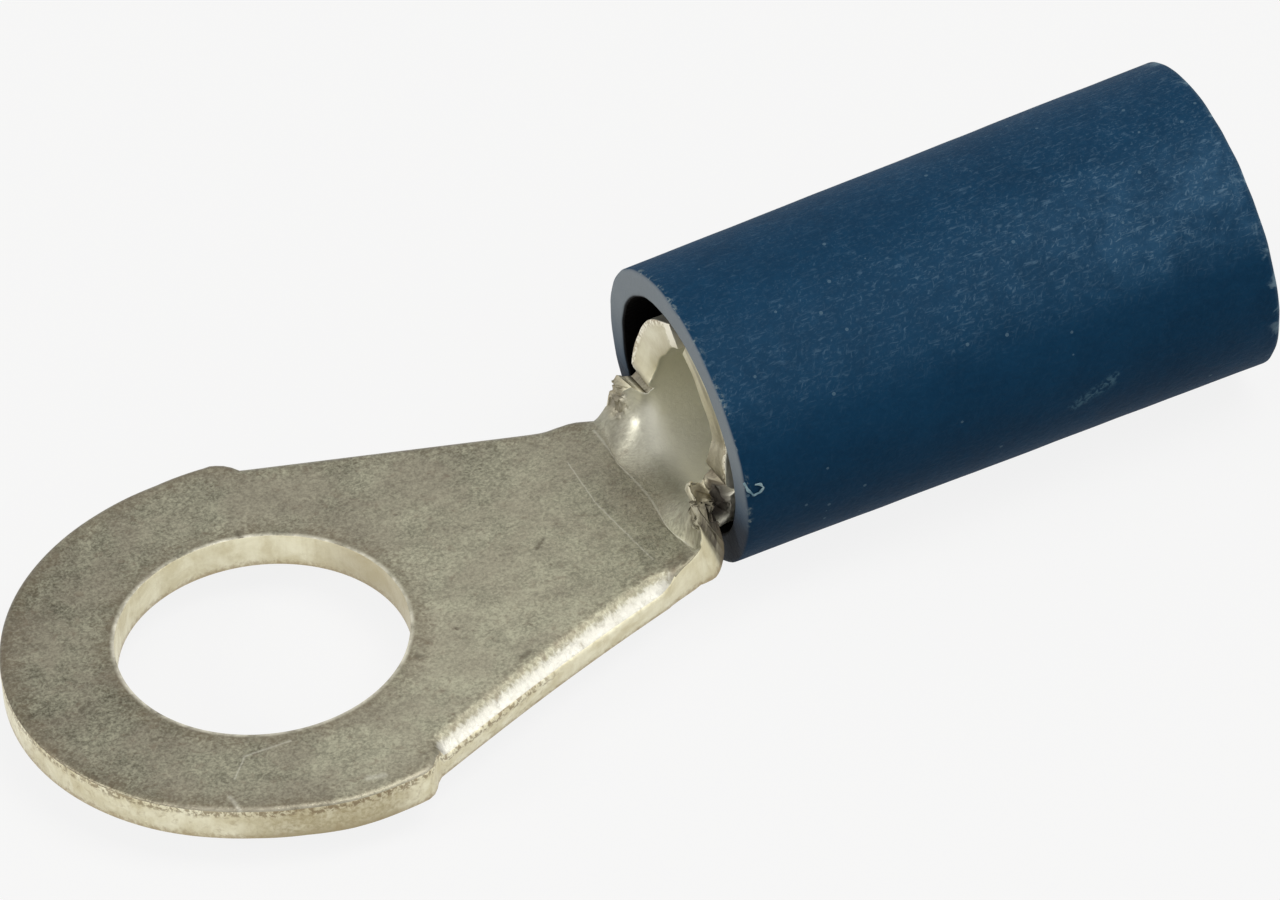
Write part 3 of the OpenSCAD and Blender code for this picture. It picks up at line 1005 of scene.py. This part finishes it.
# The near part of the ring's cut side is darker.
darker_ring_side = ramp(x, -2.7, -1.5) * ramp(x, 1.0, 0.1) * ramp(y, -2.8, -3.6) * (0.35 + fine * 0.5)
# Painted shade: the cut faces in the slits at the wings' roots are darkened as if in shadow.
slit_shade = ramp(aside, 2.62, 2.38) * ramp(aside, 1.9, 2.1) * on_wing
# Painted shade: a dark line along the middle of the near wing's front, standing for the shade in a groove.
groove_shade = ramp(abs(z - 0.27), 0.16, 0.04) * on_wing * on_near_half
burr = ramp(z, 0.16, 0.05) * on_wing * ramp(fine, 0.25, 0.7)
chip = ramp(y + fine * 0.15, 4.62, 4.72) * on_wing
on_ring = ramp(x, 4.6, 3.8) * ramp(from_hole, 3.2, 3.6)
flecks = on_ring * ramp(z + medium * 0.08, 0.56, 0.66) * ramp(fine, 0.25, 0.65)
spots = use(patches, elsewhere, Scale=6.0, Low=0.50, High=0.72)
hole_end = ramp(from_hole, 3.2, 3.0) * ramp(x, 1.6, 2.4)
# Painted shade: the near torn corner's cut side, in the gap before the sleeve, is painted dark and made less
# metallic.
gap_shade = ramp(x, 7.90, 7.98) * ramp(x, 8.14, 8.07) * (ramp(y, -2.0, -2.1) * cut_side)
side = coat(blend(side_patch, (0.66, 0.60, 0.40), (0.86, 0.82, 0.62)),
            (sheared * 0.13, (0.45, 0.36, 0.20)),
            (low_edge * 0.6, (0.30, 0.20, 0.09)),
            (wing_foot * (0.45 + fine * 0.4), (0.20, 0.165, 0.115)),
            (darker_ring_side, (0.36, 0.30, 0.17)),
            (on_wing * 0.3, (0.42, 0.39, 0.29)),
            (slit_shade * (0.5 + fine * 0.45), (0.085, 0.068, 0.045)),
            (groove_shade * (0.2 + medium * 0.5), (0.25, 0.225, 0.16)),
            (calc("MAXIMUM", burr, chip) * 0.85, (0.95, 0.91, 0.76)),
            (flecks * 0.7, (0.20, 0.145, 0.08)),
            (spots * on_ring * 0.45, (0.33, 0.25, 0.13)),
            (hole_end * 0.55, (0.36, 0.30, 0.19)),
            (gap_shade * (0.55 + fine * 0.4), (0.06, 0.046, 0.032)))
print("tin so far:", len(tree.nodes), "nodes")


# %% [markdown]
# Torn metal is coarse, pale where the grain is fresh and brown where it is not. Its outer side at the near
# corner is painted brown-black as shade, and there and in the gap beside it the metal is made less metallic
# so that the painted shade stays dark. The same masks drive the colour and the metal, so that both end at
# the same border.

# %% Tin finish: torn corners
ragged = use(patches, elsewhere, Scale=3.0, Low=0.40, High=0.60)
broken = blend(ragged, (0.115, 0.090, 0.060), (0.66, 0.62, 0.48))
# Painted shade: the outer side of the near torn corner is painted brown-black, as if in shadow.
hollow_shade = ramp(z, 0.25, 0.05) * ramp(y, 0.0, -0.5) * torn
colour = coat(blend(cut_side, face, side),
              (torn * (1.0 - gap_shade) * (0.35 + fine * 0.45), broken),
              (torn * ramp(y, 0.0, 0.6) * 0.5, (0.23, 0.20, 0.145)),
              (hollow_shade * 0.9, (0.045, 0.035, 0.026)))
metallic = 0.8 - calc("MAXIMUM", hollow_shade, gap_shade) * 0.75
print("tin so far:", len(tree.nodes), "nodes")


# %% [markdown]
# The plating is a little rough everywhere, rougher where it is torn and smoother where the highlight is
# painted on the rolled edge. Fine relief breaks up the reflections. It is a bump and not real geometry,
# because it is only a few thousandths of a millimetre deep and never shows in an outline.

# %% Tin finish: relief and gloss
height = fine * 0.5 + medium * 0.35 - grit * 0.5 + (pale + scratch) * 0.25 + sheared * cut_side * 0.25
height = height * (1.0 - ramp(x, 7.6, 8.2) * 0.75) + torn * ragged * 1.5
relief = field(tree, "ShaderNodeBump", {"Height": height, "Distance": 0.000012, "Strength": 0.7})
roughness = 0.36 + tone * 0.14 - rolled * 0.04 + (torn + hollow_shade) * 0.2 - painted_roll_highlight * 0.08
feed_all(shader, {"Base Color": colour, "Metallic": metallic, "Roughness": roughness, "Normal": relief})
dress(terminal, tin)


# %% [markdown]
# The sleeve is deep blue vinyl with hardly any gloss. Its upper side is lightened as a painted sheen, and
# fine scuffs that run mostly along the tube are painted pale there, partly real scuffing and partly painted
# glints. There are a few specks and a scrape. The scuffs are noise stretched along the tube and bent a
# little, so that they do not look combed. All is read at the sleeve's own place before it was seated.

# %% Vinyl finish: scuffs, painted sheen and scrape
SLEEVE_MARKS = [((6.55, -2.83, -0.62), (7.25, -2.84, -0.30), 0.22),
                ((7.0, -2.84, -0.40), (7.3, -2.84, -0.22), 0.15)]
vinyl, tree, shader = new_material("blue_soft_vinyl")
local = stored(tree, "along_sleeve", "Vector")
x, y, z = axes(local)
from_axis = vector("LENGTH", field(tree, "ShaderNodeCombineXYZ", {"Y": y, "Z": z}), out="Value")
broad, medium, fine = (use(patches, local, Scale=scale, Low=low, High=0.7) for scale, low in
                       ((0.4, 0.3), (1.6, 0.3), (9.0, 0.35)))
lengthwise = use(streaks, local, Stretch=(5.0, 20.0, 20.0), Low=0.52, High=0.76, Bend=0.9)
slanted = use(streaks, local, Turn=(0.7, 0.9, 0.3), Stretch=(5.5, 18.0, 18.0), Low=0.53, High=0.76, Bend=0.9)
# Painted sheen: the upper side is lightened and its scuffs are painted pale, where the lamp above would glint
# on the vinyl.
upper = ramp(z, 0.9, 2.0) * (1.0 - ramp(y, -1.5, -0.3) * 0.45)
wear_and_sheen = upper * (0.45 + medium * 0.55) * (0.5 + ramp(x, 2.0, 10.0) * 0.5) + 0.05
scuffs_and_glints = calc("MAXIMUM", lengthwise, slanted) * wear_and_sheen
painted_sheen = upper * (0.045 + ramp(x, 4.0, 10.6) * ramp(y, -0.3, -1.6) * medium * 0.13)
dots = use(specks, local, Scale=2.6, Size=0.09, Share=0.35)
scrape = marks_sum(local, SLEEVE_MARKS, 0.3) * ramp(fine, 0.1, 0.8)
vinyl_body = coat(blend(broad * 0.5 + medium * 0.5, (0.0022, 0.0225, 0.054), (0.0036, 0.032, 0.074)),
                  (fine * 0.25, (0.006, 0.044, 0.095)),
                  (painted_sheen, (0.10, 0.24, 0.40)),
                  (scuffs_and_glints * 0.55, (0.16, 0.26, 0.35)),
                  (dots * 0.25, (0.2, 0.3, 0.36)),
                  (scrape * 0.5, (0.10, 0.20, 0.26)))
print("vinyl so far:", len(tree.nodes), "nodes")


# %% [markdown]
# The two ends look different from the body. The blade left the front face pale and its rim nicked, and
# the face is lighter towards its top as painted light. Painted shade darkens the lower part of that face,
# and the bore near the front is painted black as shade. The rear face is a dusty blue. The ends are found
# by the distance along the sleeve and from its axis, so no face has to be picked by hand.

# %% Vinyl finish: the two ends
front_face = 1.0 - ramp(x, 0.0, 0.05)
at_rim = (1.0 - ramp(x, 0.02, 0.16)) * ramp(from_axis, SLEEVE_OUT - 0.09, SLEEVE_OUT - 0.01)
nicked = at_rim * ramp(fine, 0.4, 0.8) * ramp(medium, 0.35, 0.75)
# Painted shade: the bore near the front is painted black.
bore = ramp(from_axis, SLEEVE_BORE + 0.06, SLEEVE_BORE + 0.02) * ramp(x, 1.6, 0.8)
rear_face = ramp(x, SLEEVE_L - 0.10, SLEEVE_L - 0.02)
rear_rim = ramp(x, SLEEVE_L - 0.30, SLEEVE_L - 0.06) * ramp(from_axis, SLEEVE_OUT, SLEEVE_OUT + 0.08)
rear_nicks = rear_rim * ramp(medium, 0.6, 0.9)
colour = coat(vinyl_body,
              (nicked * 0.8, (0.22, 0.27, 0.27)),
              # Painted light and shade: the pale cut face is lighter towards its top, and its lower part is
              # darkened to brown-black.
              (front_face * (0.05 + ramp(z, -1.3, 1.2) * 0.95), (0.22, 0.25, 0.275)),
              (front_face * ramp(z, -0.2, -1.0) * 0.6, (0.030, 0.023, 0.017)),
              (bore, (0.0014, 0.0012, 0.0013)),
              (rear_face * (0.3 + broad * 0.3), (0.055, 0.095, 0.135)),
              (rear_nicks * 0.5, (0.2, 0.3, 0.36)))
height = fine * 0.5 + scuffs_and_glints * 0.7 + medium * 0.4
relief = field(tree, "ShaderNodeBump", {"Height": height, "Distance": 0.00002, "Strength": 0.6})
feed_all(shader, {"Base Color": colour, "Roughness": 0.62 - scuffs_and_glints * 0.15, "Specular IOR Level": 0.055,
                  "Normal": relief})
dress(sleeve, vinyl)


# %% [markdown]
# A thin shaving scatters light right through, so it looks much paler than the sleeve it came from. A
# translucent shader would show that as well, but so small a piece only needs the pale colour.

# %% Shaving finish
pale_vinyl, tree, shader = new_material("pale_shaving")
cloudy = use(patches, field(tree, "ShaderNodeTexCoord", {}, "Object"), Scale=9000.0, Low=0.3, High=0.7)
colour = blend(cloudy, (0.10, 0.19, 0.24), (0.30, 0.42, 0.45))
feed_all(shader, {"Base Color": colour, "Roughness": 0.6, "Specular IOR Level": 0.1})
dress(shaving, pale_vinyl)


# %% [markdown]
# The camera looks down on the part from its front left, from far away with a long lens, so the ring hardly
# shrinks towards the back. It is placed by two angles, a distance and a small roll, which is easier to
# correct than a matrix.

# %% Camera
def aim_camera(azimuth, elevation, roll, target, distance, lens):
    az, el = math.radians(azimuth), math.radians(elevation)
    out = Vector((math.sin(az) * math.cos(el), -math.cos(az) * math.cos(el), math.sin(el)))
    data = bpy.data.cameras.new("view")
    data.lens = lens
    data.clip_start, data.clip_end = 0.01, 5
    camera = bpy.data.objects.new("view", data)
    bpy.context.scene.collection.objects.link(camera)
    turn = (-out).to_track_quat("-Z", "Y").to_matrix() @ Matrix.Rotation(math.radians(roll), 3, "Z")
    camera.matrix_world = Matrix.Translation(Vector(target) + distance * out) @ turn.to_4x4()
    bpy.context.scene.camera = camera
    return camera


camera = aim_camera(azimuth=-21.94, elevation=41.19, roll=-5.62,
                    target=(0.0070, -0.00145, 0.00306), distance=0.3737, lens=589.6)
print("camera at", [round(c, 3) for c in camera.matrix_world.translation], "m")


# %% [markdown]
# The terminal lies on a plain pale surface. For the camera and for reflections most of the floor's
# brightness is its own, so that it stays nearly white, and the rest is an ordinary matt surface that keeps
# the shadow. A brighter lamp would whiten the floor too, but it would bleach the part as well.

# %% Floor
FLOOR_GAP, FLOOR_SIZE, FLOOR_GLOW = 0.00002, 0.6, 0.86


def seen_directly(tree):
    rays = add(tree, "ShaderNodeLightPath", {}).outputs
    seen, mirrored, clear = (Field(rays[f"Is {kind} Ray"]) for kind in ("Camera", "Glossy", "Transmission"))
    return calc("MAXIMUM", seen, calc("MAXIMUM", mirrored, clear))


deselect()
bpy.ops.mesh.primitive_plane_add(size=FLOOR_SIZE, location=(0, 0, cad_box[0][2] - FLOOR_GAP))
floor = bpy.context.object
floor.name = "pale_floor"
ground, tree, shader = new_material("pale_floor")
feed_all(shader, {"Base Color": (0.45, 0.44, 0.425), "Roughness": 0.9, "Specular IOR Level": 0.0})
glow = field(tree, "ShaderNodeEmission", {"Color": (1, 1, 1), "Strength": 1.0})
mixed = field(tree, "ShaderNodeMixShader", {"Fac": seen_directly(tree) * FLOOR_GLOW,
                                            1: Field(shader.outputs[0]), 2: glow})
feed(tree.nodes["Material Output"].inputs["Surface"], mixed)
dress(floor, ground)


# %% [markdown]
# Plain soft studio light: an even pale surround, one large soft box above, one low at the side that draws
# the bright line on the rolled edge, and a small one from the ring's end for the glint inside the throat.
# Metal shows what surrounds it, so a soft box is placed where the surface mirrors it towards the viewer.

# %% Light
AIM_POINT, LAMP_DISTANCE = Vector((0.007, 0, 0.002)), 0.28
SURROUND, SEEN_SURROUND = 0.40, 0.60


def softbox(name, direction, size, radiance):
    data = bpy.data.lights.new(name, "AREA")
    data.shape, data.size = "SQUARE", size
    data.energy = radiance * math.pi * size * size
    lamp = bpy.data.objects.new(name, data)
    bpy.context.scene.collection.objects.link(lamp)
    aim = Vector(direction).normalized()
    turn = aim.to_track_quat("Z", "Y").to_matrix().to_4x4()
    lamp.matrix_world = Matrix.Translation(AIM_POINT + LAMP_DISTANCE * aim) @ turn
    print(name + ":", round(data.energy, 3), "W")


bpy.context.scene.view_settings.view_transform = "Standard"
world = bpy.data.worlds.new("studio")
bpy.context.scene.world = world
world.use_nodes = True
strength = SURROUND + seen_directly(world.node_tree) * SEEN_SURROUND
feed_all(world.node_tree.nodes["Background"], {"Color": (1, 1, 1), "Strength": strength})
softbox("key_light", direction=(0.30, -0.32, 0.90), size=0.16, radiance=5.5)
softbox("side_light", direction=(0.76, -0.56, 0.34), size=0.08, radiance=4.7)
softbox("throat_light", direction=(-0.88, 0.02, 0.47), size=0.085, radiance=14.0)
